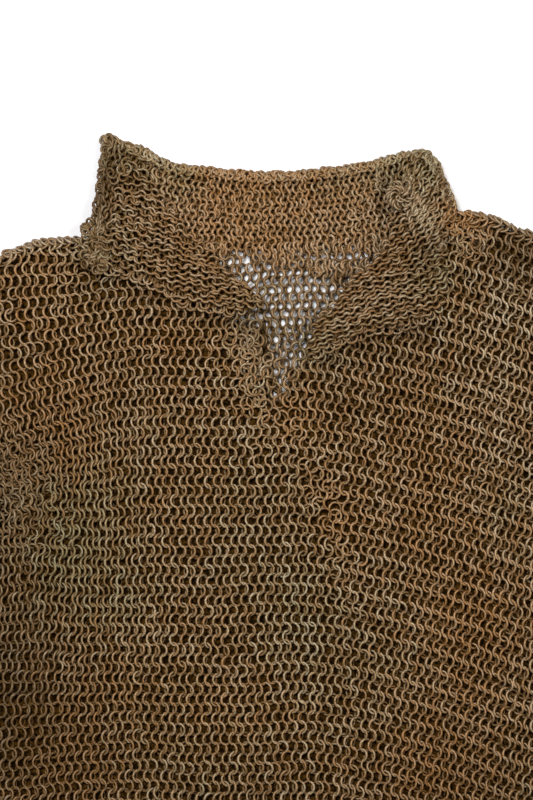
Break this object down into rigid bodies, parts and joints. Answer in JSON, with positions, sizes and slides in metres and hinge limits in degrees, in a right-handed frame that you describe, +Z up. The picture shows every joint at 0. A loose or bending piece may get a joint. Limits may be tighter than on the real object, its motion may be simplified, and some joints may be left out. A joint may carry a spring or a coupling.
{
  "type": "chainmail hauberk",
  "caption": "Short-sleeved chainmail shirt laid out flat on its back, with a mail collar turned out as lapels over a neck slit.",
  "frame": {"origin": "on the surface that the garment lies on, at the middle of its footprint", "axes": "+X to the right across the chest from cuff to cuff, +Y from the hem to the collar, +Z up from the surface"},
  "size_m": [0.88, 0.772, 0.0188],
  "materials": {
    "mail_front": "rusted iron wire, brown with olive and orange patches",
    "mail_back": "rusted iron wire, darker brown",
    "mail_collar": "rusted iron wire, orange-brown"
  },
  "bodies": {
    "root": {"body_back": "mail_back", "body_front": "mail_front", "sleeve_left_lower": "mail_back", "sleeve_left_upper": "mail_front", "sleeve_right_lower": "mail_back", "sleeve_right_upper": "mail_front", "collar_back": "mail_collar", "lapel_left": "mail_collar", "lapel_right": "mail_collar"}
  },
  "joints": []
}
